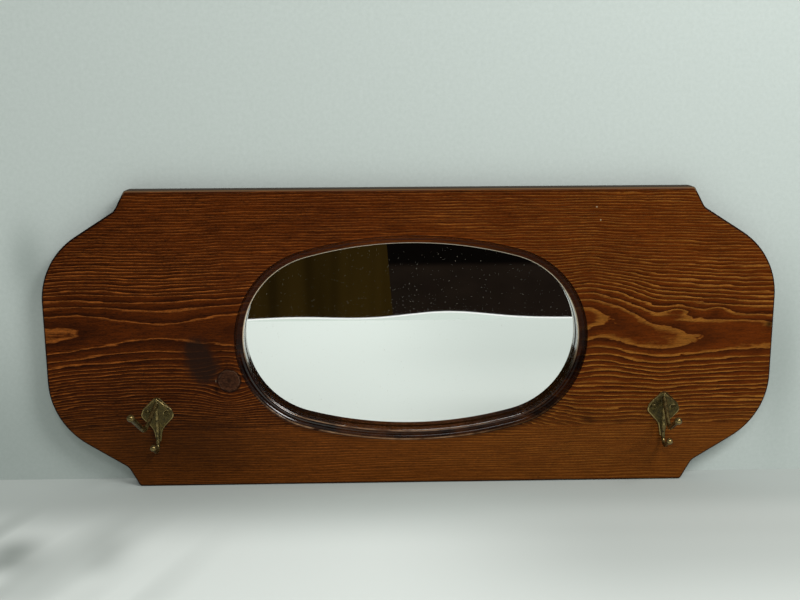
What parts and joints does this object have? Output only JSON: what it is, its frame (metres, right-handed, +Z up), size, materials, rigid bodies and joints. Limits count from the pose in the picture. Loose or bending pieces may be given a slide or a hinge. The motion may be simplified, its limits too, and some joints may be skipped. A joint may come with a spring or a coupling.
{
  "type": "wall mirror with coat hooks",
  "caption": "Wide shaped pine board for the wall, with an oval mirror behind a routed moulding and an antique brass double coat hook on each side.",
  "frame": {"origin": "middle of the board on the plane of the wall, where the backing board's back face rests", "axes": "+X to the right as seen from the front, +Z up, and +Y into the wall: the mirror faces -Y"},
  "size_m": [0.762, 0.0961, 0.316],
  "materials": {
    "stained_pine": "brushed grain, dark stain under gloss lacquer",
    "raw_beech": "bare",
    "silvered_glass": "polished",
    "hardboard": "matt",
    "antique_brass": "aged, worn bright on the edges",
    "zinc_steel": "zinc plated"
  },
  "bodies": {
    "root": {"upper_plank": "stained_pine", "lower_plank": "stained_pine", "plank_dowels": "raw_beech", "mirror_glass": "silvered_glass", "backing_board": "hardboard", "backing_screws": "zinc_steel", "left_hook": "antique_brass", "right_hook": "antique_brass", "left_hook_screws": "antique_brass", "right_hook_screws": "antique_brass", "left_hanger_plate": "zinc_steel", "right_hanger_plate": "zinc_steel", "left_hanger_screws": "zinc_steel", "right_hanger_screws": "zinc_steel"}
  },
  "joints": []
}
